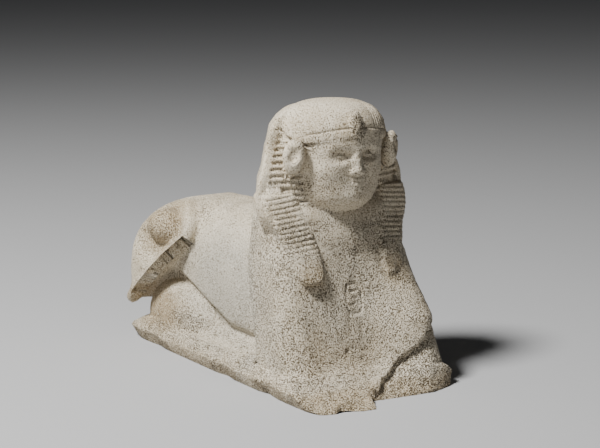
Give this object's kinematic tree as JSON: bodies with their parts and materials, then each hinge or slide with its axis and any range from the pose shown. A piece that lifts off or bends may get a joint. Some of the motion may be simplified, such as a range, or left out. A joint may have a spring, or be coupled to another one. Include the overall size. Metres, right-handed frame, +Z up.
{
  "type": "sphinx statue",
  "caption": "Small reclining sphinx with a pleated royal headcloth, carved with its plinth from one block of pale stone, its forelegs broken away.",
  "frame": {"origin": "centre of the overall box on the underside of the plinth", "axes": "+X the way the sphinx faces, along its longest side; +Y to its left; +Z up"},
  "size_m": [0.278, 0.1352, 0.204],
  "materials": {
    "quartzite": "matte"
  },
  "bodies": {
    "root": {"sphinx_statue": "quartzite"}
  },
  "joints": []
}
